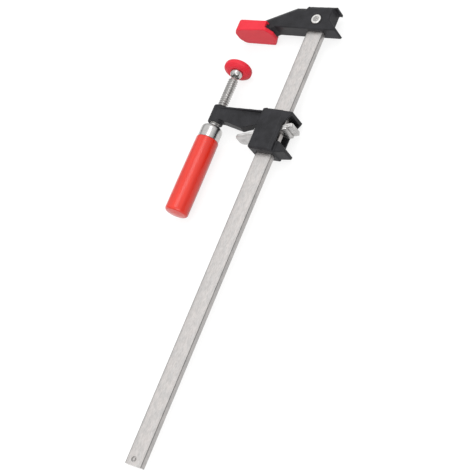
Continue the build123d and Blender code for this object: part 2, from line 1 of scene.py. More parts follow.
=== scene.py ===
# %% [markdown]
# A quick release bar clamp, dressed for its portrait. The packed model gives every piece its
# size and place. This notebook gives the pieces the surfaces that a real clamp has: drawn steel,
# painted iron, soft red plastic, a lacquered handle and a cut thread.

# %% Load the packed model
import json
import math
import bpy
from mathutils import Matrix, Quaternion, Vector


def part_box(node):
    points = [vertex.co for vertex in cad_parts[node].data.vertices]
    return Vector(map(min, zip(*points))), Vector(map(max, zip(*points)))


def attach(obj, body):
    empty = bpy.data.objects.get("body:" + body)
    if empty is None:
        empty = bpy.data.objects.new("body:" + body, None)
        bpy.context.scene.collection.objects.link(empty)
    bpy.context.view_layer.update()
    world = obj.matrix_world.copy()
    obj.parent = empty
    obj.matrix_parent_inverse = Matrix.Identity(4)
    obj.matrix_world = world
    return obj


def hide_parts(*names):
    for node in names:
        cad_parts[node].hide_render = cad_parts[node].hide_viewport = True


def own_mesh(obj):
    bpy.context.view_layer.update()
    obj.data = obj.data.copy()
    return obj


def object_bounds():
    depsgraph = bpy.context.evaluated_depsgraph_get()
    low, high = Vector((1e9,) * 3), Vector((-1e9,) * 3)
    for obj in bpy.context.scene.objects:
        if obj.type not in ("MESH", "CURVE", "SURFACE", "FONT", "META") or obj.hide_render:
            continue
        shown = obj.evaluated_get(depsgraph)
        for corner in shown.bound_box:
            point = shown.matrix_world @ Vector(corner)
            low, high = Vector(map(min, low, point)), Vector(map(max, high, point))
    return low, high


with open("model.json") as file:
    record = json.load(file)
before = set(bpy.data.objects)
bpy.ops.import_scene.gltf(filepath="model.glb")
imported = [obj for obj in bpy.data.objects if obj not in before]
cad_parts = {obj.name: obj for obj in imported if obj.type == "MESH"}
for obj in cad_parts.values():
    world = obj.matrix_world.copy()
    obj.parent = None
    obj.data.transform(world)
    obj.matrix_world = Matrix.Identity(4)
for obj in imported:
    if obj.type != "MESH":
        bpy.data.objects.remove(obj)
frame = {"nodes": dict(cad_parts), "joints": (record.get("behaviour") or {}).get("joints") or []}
cad_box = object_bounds()
joints = {joint["name"]: joint for joint in frame["joints"]}
print("model box", [tuple(round(value, 4) for value in corner) for corner in cad_box])

# %% [markdown]
# All pieces are in metres, but a clamp is thought of in millimetres. One small value turns one
# into the other, and a few helpers do what the mouse does in the window: pick one object, apply a
# modifier, merge doubled points, start from a copy of a packed piece, and give a finished piece
# its place and its finish.

# %% Helpers for modelling
MM = 0.001
DOUBLES = 0.002 * MM


def select_none():
    """Leaves edit mode and clears the selection."""
    if bpy.context.mode != "OBJECT":
        bpy.ops.object.mode_set(mode="OBJECT")
    bpy.ops.object.select_all(action="DESELECT")


def only(obj):
    """Selects this object and nothing else."""
    select_none()
    obj.select_set(True)
    bpy.context.view_layer.objects.active = obj


def apply_modifier(obj, kind, **settings):
    """Adds a modifier with these settings and applies it."""
    only(obj)
    modifier = obj.modifiers.new(kind.lower(), kind)
    for key, value in settings.items():
        setattr(modifier, key, value)
    bpy.ops.object.modifier_apply(modifier=modifier.name)


def clean(obj):
    """Merges doubles and points every face outwards."""
    only(obj)
    bpy.ops.object.mode_set(mode="EDIT")
    bpy.ops.mesh.select_all(action="SELECT")
    bpy.ops.mesh.remove_doubles(threshold=DOUBLES)
    bpy.ops.mesh.normals_make_consistent(inside=False)
    bpy.ops.object.mode_set(mode="OBJECT")


def copy_node(node, name):
    """A merged copy of a packed node, as a start for a finer piece."""
    source = frame["nodes"][node]
    obj = source.copy()
    obj.data = source.data.copy()
    obj.parent = None
    obj.name = name
    obj.data.name = name
    obj.data.materials.clear()
    bpy.context.scene.collection.objects.link(obj)
    clean(obj)
    return obj


def dress(obj, body, material, slot, *nodes):
    """Gives a finished piece its body and finish, and hides the packed nodes it stands for."""
    obj.data.materials.clear()
    obj.data.materials.append(material)
    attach(obj, body)
    if nodes:
        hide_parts(*nodes)
    print(obj.name, len(obj.data.polygons), "faces on", body)


print("one millimetre is", MM, "metres, and", len(frame["nodes"]), "packed pieces wait")


# %% [markdown]
# The camera stands above the clamp, off the bar's back and its free end, with a long lens so that
# the bar hardly narrows. It aims at a point on the bar, and is rolled so that the bar rises
# steeply through the square frame, from the lower left.

# %% Camera
LENS = 101.38
CAMERA_AT = Vector((789.16, -581.08, 1005.74)) * MM
CAMERA_AIM = Vector((80.555, -220.054, 0.0)) * MM
CAMERA_ROLL = math.radians(-45.52)

camera_data = bpy.data.cameras.new("camera")
camera_data.lens = LENS
camera = bpy.data.objects.new("camera", camera_data)
bpy.context.scene.collection.objects.link(camera)
camera.location = CAMERA_AT
camera.rotation_mode = "QUATERNION"
look = (CAMERA_AIM - CAMERA_AT).to_track_quat("-Z", "Y")
camera.rotation_quaternion = look @ Quaternion((0, 0, 1), CAMERA_ROLL)
bpy.context.scene.camera = camera
print("camera distance", round((CAMERA_AT - CAMERA_AIM).length, 3), "m")

# %% [markdown]
# Every finish is built from the same few steps: a Principled shader, a pattern on the object's
# own coordinates, and a bump. A small class keeps the node calls short, so that each finish below
# reads as a recipe.

# %% A recipe book for finishes
OPAQUE = 1.0
MIX_FACTOR, MIX_FIRST, MIX_SECOND, MIX_COLOUR = 0, 6, 7, 2


class Finish:
    """A material with a Principled shader and short calls for adding nodes."""

    def __init__(self, name, colour, metallic, roughness):
        self.material = bpy.data.materials.new(name)
        self.material.use_nodes = True
        self.nodes = self.material.node_tree.nodes
        self.links = self.material.node_tree.links
        self.shader = self.nodes["Principled BSDF"]
        self.set("Base Color", (*colour, OPAQUE))
        self.set("Metallic", metallic)
        self.set("Roughness", roughness)
        self.place = self.nodes.new("ShaderNodeTexCoord").outputs["Object"]

    def set(self, socket, value):
        self.shader.inputs[socket].default_value = value

    def feed(self, socket, output):
        self.links.new(output, self.shader.inputs[socket])

    def stretched(self, scale):
        """Object coordinates, scaled along each axis."""
        node = self.nodes.new("ShaderNodeMapping")
        node.inputs["Scale"].default_value = scale
        self.links.new(self.place, node.inputs["Vector"])
        return node.outputs["Vector"]

    def noise(self, vector, scale, detail):
        node = self.nodes.new("ShaderNodeTexNoise")
        node.inputs["Scale"].default_value = scale
        node.inputs["Detail"].default_value = detail
        self.links.new(vector, node.inputs["Vector"])
        return node.outputs["Fac"]

    def ramp(self, factor, *stops):
        """A colour ramp: each stop is a place and a grey value or a colour."""
        node = self.nodes.new("ShaderNodeValToRGB")
        marks = node.color_ramp.elements
        while len(marks) < len(stops):
            marks.new(1.0)
        for mark, (place, colour) in zip(marks, stops):
            mark.position = place
            tint = colour if isinstance(colour, tuple) else (colour,) * 3
            mark.color = (*tint, OPAQUE)
        self.links.new(factor, node.inputs["Fac"])
        return node.outputs["Color"]

    def mix(self, factor, first, second, blend="MIX"):
        node = self.nodes.new("ShaderNodeMix")
        node.data_type = "RGBA"
        node.blend_type = blend
        for socket, value in ((MIX_FACTOR, factor), (MIX_FIRST, first), (MIX_SECOND, second)):
            if hasattr(value, "is_linked"):
                self.links.new(value, node.inputs[socket])
            elif isinstance(value, tuple):
                node.inputs[socket].default_value = (*value, OPAQUE)
            else:
                node.inputs[socket].default_value = value
        return node.outputs[MIX_COLOUR]

    def math(self, operation, first, second=0.0):
        node = self.nodes.new("ShaderNodeMath")
        node.operation = operation
        for socket, value in ((0, first), (1, second)):
            if hasattr(value, "is_linked"):
                self.links.new(value, node.inputs[socket])
            else:
                node.inputs[socket].default_value = value
        return node.outputs["Value"]

    def facing(self, axis):
        """How squarely a surface faces along an object axis, from 0 to 1."""
        node = self.nodes.new("ShaderNodeTexCoord")
        split = self.nodes.new("ShaderNodeSeparateXYZ")
        self.links.new(node.outputs["Normal"], split.inputs["Vector"])
        return self.math("ABSOLUTE", split.outputs[axis])

    def bump(self, height, distance, strength=1.0):
        node = self.nodes.new("ShaderNodeBump")
        node.inputs["Distance"].default_value = distance
        node.inputs["Strength"].default_value = strength
        self.links.new(height, node.inputs["Height"])
        self.feed("Normal", node.outputs["Normal"])


print("a finish has the calls", [name for name in vars(Finish) if not name.startswith("_")])

# %% [markdown]
# The bar is cold drawn steel. Drawing leaves long fine lines and soft patches where oil dried. The
# narrow edges are painted darker, with a painted dark line at each rounded corner: painted shade.
# Noise stretched along the bar makes the lines, and how squarely a face looks along X sets the
# shade.

# %% Drawn steel for the bar


def bar_steel():
    finish = Finish("drawn bar steel", (0.66, 0.645, 0.63), 1.0, 0.38)
    lines = finish.noise(finish.stretched((1100, 320, 1100)), 1.0, 5.0)
    patches = finish.noise(finish.stretched((260, 110, 260)), 1.0, 3.0)
    tone = finish.ramp(lines, (0.35, (0.625, 0.608, 0.597)), (0.65, (0.745, 0.727, 0.715)))
    warm = finish.ramp(patches, (0.35, (1.0, 0.975, 0.965)), (0.65, (0.9, 0.9, 0.9)))
    face = finish.mix(1.0, tone, warm, "MULTIPLY")
    # painted shade: narrow edges darker and a dark line at each rounded corner, set by the X normal
    edge = finish.ramp(finish.facing("X"), (0.06, 1.0), (0.3, 0.2), (0.7, 0.34), (0.95, 0.68))
    finish.feed("Base Color", finish.mix(1.0, face, edge, "MULTIPLY"))
    finish.feed("Roughness", finish.ramp(patches, (0.3, 0.34), (0.7, 0.5)))
    finish.bump(lines, 0.012 * MM)
    return finish.material


BAR_STEEL = bar_steel()
print("finish", BAR_STEEL.name, "with", len(BAR_STEEL.node_tree.nodes), "nodes")

# %% [markdown]
# The castings are iron with a thin satin paint. Paint over sand-cast iron is never flat: the
# sand's grain shows through and the grey is a little uneven. The paint is also made lighter on
# outer edges and darker in the corners and creases, which is painted shade. The pattern of edges
# and corners comes with each casting as a colour attribute, which the Dirt tool paints on its
# points.

# %% Satin paint for the castings
EDGE_AND_SHADE_LAYER = "edges and corners"


def casting_paint():
    finish = Finish("satin charcoal paint", (0.02, 0.02, 0.022), 0.0, 0.42)
    sand = finish.noise(finish.place, 650.0, 4.0)
    cloud = finish.noise(finish.place, 110.0, 4.0)
    dark = (0.016, 0.016, 0.018)
    light = (0.031, 0.031, 0.035)
    paint = finish.ramp(cloud, (0.32, dark), (0.7, light))
    edges_and_shade = finish.nodes.new("ShaderNodeVertexColor")
    edges_and_shade.layer_name = EDGE_AND_SHADE_LAYER
    # painted shade: corners and creases are darkened to 0.2, and outer edges are made lighter
    stops = ((0.41, 0.2), (0.485, 1.0), (0.535, 1.0), (0.66, 2.6))
    lighter_edges_painted_shade = finish.ramp(edges_and_shade.outputs["Color"], *stops)
    finish.feed("Base Color", finish.mix(1.0, paint, lighter_edges_painted_shade, "MULTIPLY"))
    finish.feed("Roughness", finish.ramp(cloud, (0.3, 0.4), (0.7, 0.55)))
    finish.set("Specular IOR Level", 0.24)
    finish.bump(sand, 0.22 * MM, 0.8)
    return finish.material


CASTING_PAINT = casting_paint()
print("finish", CASTING_PAINT.name, "with", len(CASTING_PAINT.node_tree.nodes), "nodes")

# %% [markdown]
# Both soft parts are the same dipped red plastic: satin, slightly see-through at thin edges, with
# a very fine grain from the mould.

# %% Soft red plastic for the pads


def pad_plastic():
    finish = Finish("soft red plastic", (0.78, 0.035, 0.06), 0.0, 0.42)
    grain = finish.noise(finish.place, 1600.0, 2.0)
    cloud = finish.noise(finish.place, 55.0, 3.0)
    deep = (0.79, 0.020, 0.040)
    bright = (0.87, 0.030, 0.056)
    finish.feed("Base Color", finish.ramp(cloud, (0.3, deep), (0.7, bright)))
    finish.set("Specular IOR Level", 0.35)
    finish.set("Subsurface Weight", 0.12)
    finish.set("Subsurface Radius", (1.0 * MM, 0.25 * MM, 0.2 * MM))
    finish.bump(grain, 0.02 * MM, 0.5)
    return finish.material


PAD_PLASTIC = pad_plastic()
print("finish", PAD_PLASTIC.name, "with", len(PAD_PLASTIC.node_tree.nodes), "nodes")

# %% [markdown]
# The handle is lacquered: a warm red under a clear coat. Under the coat faint streaks run along
# it, as a grain does, and the surface is a little wavy, so its long highlight isn't
# ruler-straight.

# %% Lacquer for the handle


def handle_lacquer():
    finish = Finish("red lacquer", (0.80, 0.045, 0.018), 0.0, 0.34)
    streaks = finish.noise(finish.stretched((260, 16, 260)), 1.0, 3.0)
    wave = finish.noise(finish.place, 60.0, 2.0)
    deep = (0.71, 0.018, 0.006)
    bright = (0.81, 0.030, 0.011)
    finish.feed("Base Color", finish.ramp(streaks, (0.3, deep), (0.7, bright)))
    finish.set("Specular IOR Level", 0.4)
    finish.set("Coat Weight", 0.55)
    finish.set("Coat Roughness", 0.2)
    finish.bump(wave, 0.08 * MM, 0.5)
    return finish.material


HANDLE_LACQUER = handle_lacquer()
print("finish", HANDLE_LACQUER.name, "with", len(HANDLE_LACQUER.node_tree.nodes), "nodes")

# %% [markdown]
# The clutch plates are cut from rolled sheet, zinc plated and tumbled. Their broad faces stay a
# soft grey with a slow mottle, and their edges that face up or down get a painted highlight. The
# plates stand across the bar, so only edges face up or down, and how squarely a surface faces along
# Z finds them.

# %% Zinc for the clutch plates


def plate_zinc():
    """Rolled faces stay soft grey, and the edges that face up or down get a painted highlight."""
    finish = Finish("tumbled zinc", (0.6, 0.59, 0.58), 1.0, 0.36)
    mottle = finish.noise(finish.place, 180.0, 3.0)
    tone = finish.ramp(mottle, (0.3, (0.58, 0.57, 0.56)), (0.65, (0.78, 0.77, 0.76)))
    # painted highlight: surfaces that face along Z, the plates' upper and lower edges, are brighter
    painted_edge_light = finish.ramp(finish.facing("Z"), (0.5, 0.74), (0.8, 1.0))
    finish.feed("Base Color", finish.mix(1.0, tone, painted_edge_light, "MULTIPLY"))
    finish.feed("Roughness", finish.ramp(mottle, (0.3, 0.46), (0.7, 0.32)))
    finish.bump(mottle, 0.04 * MM)
    return finish.material


PLATE_ZINC = plate_zinc()
print("finish", PLATE_ZINC.name, "with", len(PLATE_ZINC.node_tree.nodes), "nodes")

# %% [markdown]
# The ferrule is drawn and polished, and the spring's wire is drawn and darker. One recipe with a
# few settings makes both: a fine grain that runs the way the tool ran, and a soft mottle. The
# screw and the rivet have patterns that belong to their own shape, so their recipes come with
# them.

# %% Ferrule and spring steel


def bright_steel(name, tint, roughness, grain_scale, grain_depth):
    finish = Finish(name, tint, 1.0, roughness)
    grain = finish.noise(finish.stretched(grain_scale), 1.0, 3.0)
    mottle = finish.noise(finish.place, 180.0, 3.0)
    dull = tuple(0.8 * value for value in tint)
    finish.feed("Base Color", finish.ramp(mottle, (0.3, dull), (0.65, tint)))
    low, high = roughness - 0.06, roughness + 0.1
    finish.feed("Roughness", finish.ramp(mottle, (0.3, high), (0.7, low)))
    finish.bump(grain, grain_depth)
    return finish.material


FERRULE_STEEL = bright_steel("polished ferrule", (0.62, 0.61, 0.6), 0.2, (900, 40, 900), 0.006 * MM)
SPRING_STEEL = bright_steel("spring wire", (0.42, 0.41, 0.4), 0.3, (300, 300, 300), 0.01 * MM)
print("finishes", FERRULE_STEEL.name, "and", SPRING_STEEL.name)

# %% [markdown]
# The fixed jaw and the sliding arm are iron castings. Their packed solids have crisp edges, and a
# casting never has any: molten iron rounds every corner, inside and out. Rebuilding a copy from
# small even cells and smoothing it a few times rounds all of them at once, as a mould does. The
# Dirt tool then finds the outer edges and the corners for the paint.

# %% Castings
CELL = 0.48 * MM
SOFTEN_TIMES = 3


def cast_copy(node, name, cell=CELL, times=SOFTEN_TIMES):
    obj = copy_node(node, name)
    apply_modifier(obj, "REMESH", mode="VOXEL", voxel_size=cell, use_smooth_shade=True)
    apply_modifier(obj, "SMOOTH", factor=0.5, iterations=times)
    clean(obj)
    return obj


def paint_edges_and_shade(obj):
    """Paints lighter outer edges and painted shade in the corners into a colour attribute."""
    only(obj)
    edges_and_shade = obj.data.color_attributes.new(EDGE_AND_SHADE_LAYER, "BYTE_COLOR", "CORNER")
    obj.data.color_attributes.active_color = edges_and_shade
    bpy.ops.paint.vertex_color_dirt(blur_strength=1.0, blur_iterations=2, normalize=False)
    tones = [corner.color[0] for corner in edges_and_shade.data]
    low, high = round(min(tones), 2), round(max(tones), 2)
    print(obj.name, "wear from", low, "to", high, "mean", round(sum(tones) / len(tones), 3))


jaw_casting = cast_copy("fixed_jaw", "jaw_casting")
paint_edges_and_shade(jaw_casting)
dress(jaw_casting, "bar", CASTING_PAINT, "casting", "fixed_jaw")
arm_casting = cast_copy("sliding_arm", "arm_casting")
paint_edges_and_shade(arm_casting)
dress(arm_casting, "arm", CASTING_PAINT, "casting", "sliding_arm")

# %% [markdown]
# The boot on the jaw is moulded in soft plastic, so its edges are rounder than the iron's. The
# same way of working is used, with finer cells and more smoothing.

# %% Boot on the fixed jaw
BOOT_CELL = 0.4 * MM
BOOT_TIMES = 8
jaw_boot = cast_copy("jaw_pad", "jaw_boot", BOOT_CELL, BOOT_TIMES)
dress(jaw_boot, "bar", PAD_PLASTIC, "pad_red", "jaw_pad")

# %% [markdown]
# Turned parts are made the way they are drawn: a disc is extruded along the axis step by step,
# and each new ring is scaled to its radius. A list of radius and height pairs is the whole
# drawing of such a part.

# %% Turning a profile
SIDES = 64
QUARTER = math.radians(90)
SHARP = math.radians(35)


def turn(name, steps):
    """Extrudes and scales a disc through (radius, height) steps along Y, in millimetres."""
    radius, height = steps[0]
    select_none()
    bpy.ops.mesh.primitive_circle_add(
        vertices=SIDES, radius=radius * MM, fill_type="NGON",
        location=(0, height * MM, 0), rotation=(QUARTER, 0, 0),
    )
    obj = bpy.context.object
    obj.name = name
    obj.data.name = name
    bpy.ops.object.transform_apply(location=True, rotation=True, scale=True)
    bpy.ops.object.mode_set(mode="EDIT")
    bpy.ops.mesh.select_all(action="SELECT")
    for next_radius, next_height in steps[1:]:
        rise = (next_height - height) * MM
        bpy.ops.mesh.extrude_region_move(TRANSFORM_OT_translate={"value": (0, rise, 0)})
        ratio = next_radius / radius
        bpy.ops.transform.resize(value=(ratio, 1, ratio), center_override=(0, next_height * MM, 0))
        radius, height = next_radius, next_height
    bpy.ops.object.mode_set(mode="OBJECT")
    clean(obj)
    bpy.ops.object.shade_smooth_by_angle(angle=SHARP)
    return obj


def arc_steps(radius, height, bend, start, end, count):
    """Steps round a quarter bend: its centre is at (radius, height)."""
    steps = []
    for step in range(count + 1):
        angle = math.radians(start + (end - start) * step / count)
        steps.append((radius + bend * math.cos(angle), height + bend * math.sin(angle)))
    return steps


def node_heights(node):
    """Where a packed node starts and ends along Y, in millimetres."""
    low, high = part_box(node)
    return low[1] / MM, high[1] / MM


print("a turned piece has", SIDES, "sides, sharp over", round(math.degrees(SHARP)), "degrees")


# %% [markdown]
# The handle swells very slightly towards its end, has a shoulder where the ferrule sits and a
# rounded, domed butt. The ferrule is a drawn cup: a domed shoulder, a straight skirt and a rolled
# lower edge.

# %% Handle and ferrule
handle_low = node_heights("handle")[0]
ferrule_low, ferrule_high = node_heights("ferrule")
TOP_RADIUS = 11.9
END_RADIUS = 12.3
BUTT_BEND = 3.0
DOME = 1.2
LEAD_IN = 0.9
SPIGOT = 10.2
NECK = 3.9

butt = arc_steps(END_RADIUS - BUTT_BEND, handle_low + DOME + BUTT_BEND, BUTT_BEND, -90, 0, 8)
handle_steps = [(0.4, handle_low), (5.0, handle_low + 0.3 * DOME), (8.0, handle_low + 0.8 * DOME)]
handle_steps += butt
handle_steps += [(END_RADIUS, handle_low + 30), (0.5 * (TOP_RADIUS + END_RADIUS), handle_low + 60)]
handle_steps += arc_steps(TOP_RADIUS - LEAD_IN, ferrule_low - LEAD_IN, LEAD_IN, 0, 90, 5)
handle_steps += [(SPIGOT, ferrule_low), (SPIGOT, ferrule_high - 4.5), (NECK, ferrule_high - 1.5)]
red_handle = turn("red_handle", handle_steps)
dress(red_handle, "screw", HANDLE_LACQUER, "handle_red", "handle")

SKIRT_RADIUS = 11.15
SHOULDER_BEND = 4.2
WALL = 0.8
ROLL = 0.35
skirt = [(SKIRT_RADIUS - WALL, ferrule_low), (SKIRT_RADIUS - ROLL, ferrule_low)]
skirt += [(SKIRT_RADIUS + 0.05, ferrule_low + ROLL), (SKIRT_RADIUS, ferrule_low + 3 * ROLL)]
bend_radius, bend_height = SKIRT_RADIUS - SHOULDER_BEND, ferrule_high - SHOULDER_BEND
skirt += arc_steps(bend_radius, bend_height, SHOULDER_BEND, 0, 90, 8)
skirt += [(4.9, ferrule_high), (4.7, ferrule_high - 0.1)]
ferrule_cup = turn("ferrule_cup", skirt)
dress(ferrule_cup, "screw", FERRULE_STEEL, "ferrule_steel", "ferrule")

# %% [markdown]
# The screw has a real helix. One tooth is drawn as a short zigzag of edges, and the Screw
# modifier winds it round the axis, a little past both ends of the thread. Both ends are then cut
# flat and closed. The cut gets a threshold of its own: the usual one is a tenth of a millimetre,
# which would fold over the fine edges of a crest.

# %% Winding a thread
PITCH = 2.54
ROOT = 4.0
RUN_IN = 2.3
SPARE_TURNS = 5
WINDING_STEPS = 48
THREAD_SHARP = math.radians(60)
CUT_SLACK = 0.001 * MM
TOOTH = [
    (0, 0.35), (0.7, 0.45), (0.37, 0.2), (0.08, 0.12), (0, 0.3),
    (-0.08, 0.12), (-0.37, 0.2), (-0.7, 0.45), (0, 0.35),
]


def thread(name, low, high):
    """A closed thread between two heights, in millimetres."""
    turns = int((high - low) / PITCH) + SPARE_TURNS
    select_none()
    bpy.ops.mesh.primitive_plane_add(size=1, location=(0, 0, 0))
    obj = bpy.context.object
    obj.name = name
    obj.data.name = name
    bpy.ops.object.mode_set(mode="EDIT")
    bpy.ops.mesh.select_all(action="SELECT")
    bpy.ops.mesh.merge(type="CENTER")
    bpy.ops.transform.translate(value=(ROOT * MM, (low - RUN_IN * PITCH) * MM, 0))
    for out, up in TOOTH:
        bpy.ops.mesh.extrude_region_move(TRANSFORM_OT_translate={"value": (out * MM, up * MM, 0)})
    bpy.ops.object.mode_set(mode="OBJECT")
    apply_modifier(
        obj, "SCREW", axis="Y", angle=math.radians(360), screw_offset=PITCH * MM,
        iterations=turns, steps=WINDING_STEPS, render_steps=WINDING_STEPS,
        use_merge_vertices=True, merge_threshold=0.001 * MM, use_smooth_shade=True,
    )
    only(obj)
    bpy.ops.object.mode_set(mode="EDIT")
    for height, keep_above in ((high, False), (low, True)):
        bpy.ops.mesh.select_all(action="SELECT")
        bpy.ops.mesh.bisect(
            plane_co=(0, height * MM, 0), plane_no=(0, 1, 0), use_fill=True,
            clear_inner=keep_above, clear_outer=not keep_above, threshold=CUT_SLACK,
        )
    bpy.ops.object.mode_set(mode="OBJECT")
    clean(obj)
    bpy.ops.object.shade_smooth_by_angle(angle=THREAD_SHARP)
    return obj


BALL_Y = joints["pad_tilt"]["pos_m"][1] / MM
THREAD_TOP = BALL_Y - 8.7
THREAD_LOW = THREAD_TOP - 51.1
winding = thread("screw_spindle", THREAD_LOW, THREAD_TOP)
print("thread size", [round(value / MM, 2) for value in winding.dimensions])

# %% [markdown]
# The rest of the screw is turned in two pieces and joined on: the collar that enters the handle,
# and the cone, neck and ball at the top. The thread is darker and glossier, and the collar below it
# is rougher and painted much lighter, as painted light on a collar in the boss's shadow. So the
# finish changes at one height on the screw's own Y.

# %% Screw
BALL = 3.6
NECK_RADIUS = 2.2


def screw_steel():
    """Darker along the thread; rougher and lighter on the collar below it, where the lighter colour
    is painted light.
    """
    finish = Finish("rolled screw steel", (0.5, 0.49, 0.48), 1.0, 0.32)
    mottle = finish.noise(finish.place, 180.0, 3.0)
    split = finish.nodes.new("ShaderNodeSeparateXYZ")
    finish.links.new(finish.place, split.inputs[0])
    collar_painted_light = finish.math("LESS_THAN", split.outputs["Y"], THREAD_LOW * MM)
    rolled = finish.ramp(mottle, (0.3, (0.4, 0.39, 0.38)), (0.65, (0.5, 0.49, 0.48)))
    oiled = finish.ramp(mottle, (0.3, 0.42), (0.7, 0.26))
    # painted light: the collar below the thread is painted much lighter than the thread
    finish.feed("Base Color", finish.mix(collar_painted_light, rolled, (0.88, 0.87, 0.85)))
    finish.feed("Roughness", finish.mix(collar_painted_light, oiled, (0.5, 0.5, 0.5)))
    finish.bump(mottle, 0.02 * MM)
    return finish.material


spindle_low = node_heights("spindle")[0]
lower = turn("screw_lower", [
    (4.0, spindle_low), (4.0, ferrule_high - 1.0), (4.7, ferrule_high - 0.8),
    (4.7, THREAD_LOW - 0.5), (4.3, THREAD_LOW + 0.2),
])
ball = arc_steps(0.0, BALL_Y, BALL, -52.3, 86, 14)
upper = turn("screw_upper", [
    (3.9, THREAD_TOP - 0.3), (4.05, THREAD_TOP), (3.1, THREAD_TOP + 3.4), (2.7, THREAD_TOP + 4.6),
    (NECK_RADIUS, THREAD_TOP + 5.0), (NECK_RADIUS, BALL_Y - 3.0), *ball,
])
only(winding)
lower.select_set(True)
upper.select_set(True)
bpy.ops.object.join()
dress(winding, "screw", screw_steel(), "screw_steel", "spindle")

# %% [markdown]
# The swivel pad is a steel hub crimped round the ball, with a soft red cap on its flange. Both are
# turned upright round the ball's centre and then leaned together, because the pad hangs a little.

# %% Swivel pad
LEAN = math.radians(12)
tilt_axis = Vector(joints["pad_tilt"]["axis"])
ball_centre = Vector((0, BALL_Y * MM, 0))
to_ball, from_ball = Matrix.Translation(-ball_centre), Matrix.Translation(ball_centre)
lean = from_ball @ Matrix.Rotation(LEAN, 4, tilt_axis) @ to_ball


def lean_over(obj):
    """Leans an upright piece round the ball's centre."""
    only(obj)
    obj.matrix_world = lean
    bpy.ops.object.transform_apply(location=True, rotation=True, scale=True)


CAP_RADIUS = 14.7
CAP_BACK = BALL_Y + 0.95
CAP_FLAT = 10.6
CAP_CONE = 2.4
CAP_FRONT = BALL_Y + 7.8
cap_steps = [(6.6, CAP_BACK + 2.0), (6.7, CAP_BACK + 0.3), (7.1, CAP_BACK), (8.2, CAP_BACK)]
cap_steps += [(CAP_FLAT - 0.6, CAP_BACK), (CAP_FLAT, CAP_BACK + 0.15)]
cap_steps += arc_steps(CAP_RADIUS - 1.0, CAP_BACK + CAP_CONE + 0.6, 1.0, -55, 0, 5)
cap_steps += arc_steps(CAP_RADIUS - 1.5, CAP_FRONT - 1.5, 1.5, 0, 90, 7)
GROOVE = 0.35
cap_steps += [(11.5, CAP_FRONT), (11.2, CAP_FRONT - GROOVE)]
cap_steps += [(10.6, CAP_FRONT - GROOVE), (10.3, CAP_FRONT), (3.0, CAP_FRONT)]
pad_cap = turn("pad_cap", cap_steps)
lean_over(pad_cap)
dress(pad_cap, "pad", PAD_PLASTIC, "pad_red", "swivel_pad")

HUB_RADIUS = 6.4
LIP = BALL_Y - 4.2
hub_steps = [(4.0, LIP + 1.6), (4.5, LIP + 0.2), (4.9, LIP), (5.25, LIP + 0.25), (5.6, LIP + 1.1)]
hub_steps += [(HUB_RADIUS - 0.1, LIP + 2.4), (HUB_RADIUS, BALL_Y + 0.6)]
hub_steps += [(HUB_RADIUS + 0.15, BALL_Y + 2.6), (3.0, BALL_Y + 4.6)]
pad_hub = turn("pad_hub", hub_steps)
lean_over(pad_hub)
dress(pad_hub, "pad", FERRULE_STEEL, "screw_steel", "pad_socket")

# %% [markdown]
# The clutch plates are stamped from flat steel and tumbled, so each edge has a narrow bevel that
# catches the light. Their packed solids are right but sharp: the flat faces are first joined up,
# and then a Bevel modifier rounds only the real edges.

# %% Clutch plates
PLATE_BEVEL = 0.28 * MM
FLAT_WITHIN = math.radians(1)
REAL_EDGE = math.radians(40)


def bevelled_copy(node, name, width):
    """A copy of a packed node with its flat faces joined up and its real edges bevelled."""
    obj = copy_node(node, name)
    bpy.ops.object.mode_set(mode="EDIT")
    bpy.ops.mesh.select_all(action="SELECT")
    bpy.ops.mesh.dissolve_limited(angle_limit=FLAT_WITHIN)
    bpy.ops.object.mode_set(mode="OBJECT")
    apply_modifier(
        obj, "BEVEL", width=width, segments=2, limit_method="ANGLE",
        angle_limit=REAL_EDGE, harden_normals=False,
    )
    clean(obj)
    bpy.ops.object.shade_smooth_by_angle(angle=SHARP)
    return obj


for plate in ("upper_clutch_plate", "middle_clutch_plate", "release_plate"):
    stamped = bevelled_copy(plate, "stamped_" + plate, PLATE_BEVEL)
    dress(stamped, "clutch", PLATE_ZINC, "plate_steel", plate)

# %% [markdown]
# The rivet's heads are pressed flat with a cross-hatched punch, inside a plain bright rim. The
# hatch is too fine to model, so a pattern of crossed grooves along the clamp's X and Y makes it,
# held inside the rim by the distance from the rivet's axis.

# %% Rivet
rivet_low, rivet_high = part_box("jaw_rivet")
rivet_centre = (Vector(rivet_low) + Vector(rivet_high)) / 2
HATCH_PITCH = 0.9 * MM
HATCH_RADIUS = 3.3 * MM
RIVET_BEVEL = 0.15 * MM


def rivet_steel():
    finish = Finish("pressed rivet steel", (0.78, 0.77, 0.75), 1.0, 0.3)
    centred = finish.nodes.new("ShaderNodeVectorMath")
    centred.operation = "SUBTRACT"
    centred.inputs[1].default_value = (rivet_centre.x, rivet_centre.y, 0)
    finish.links.new(finish.place, centred.inputs[0])
    split = finish.nodes.new("ShaderNodeSeparateXYZ")
    finish.links.new(centred.outputs[0], split.inputs[0])
    x, y = split.outputs["X"], split.outputs["Y"]
    waves = []
    for sign in (1.0, -1.0):
        along = finish.math("ADD", x, finish.math("MULTIPLY", y, sign))
        turns = finish.math("MULTIPLY", along, 2 * math.pi / HATCH_PITCH)
        waves.append(finish.math("ABSOLUTE", finish.math("SINE", turns)))
    crossed = finish.math("MULTIPLY", waves[0], waves[1])
    squares = [finish.math("MULTIPLY", side, side) for side in (x, y)]
    away = finish.math("SQRT", finish.math("ADD", *squares))
    inside = finish.math("LESS_THAN", away, HATCH_RADIUS)
    grooves = finish.math("MULTIPLY", inside, finish.math("SUBTRACT", 1.0, crossed))
    finish.feed("Base Color", finish.mix(grooves, (0.80, 0.79, 0.77), (0.36, 0.35, 0.34)))
    finish.bump(grooves, -0.12 * MM)
    return finish.material


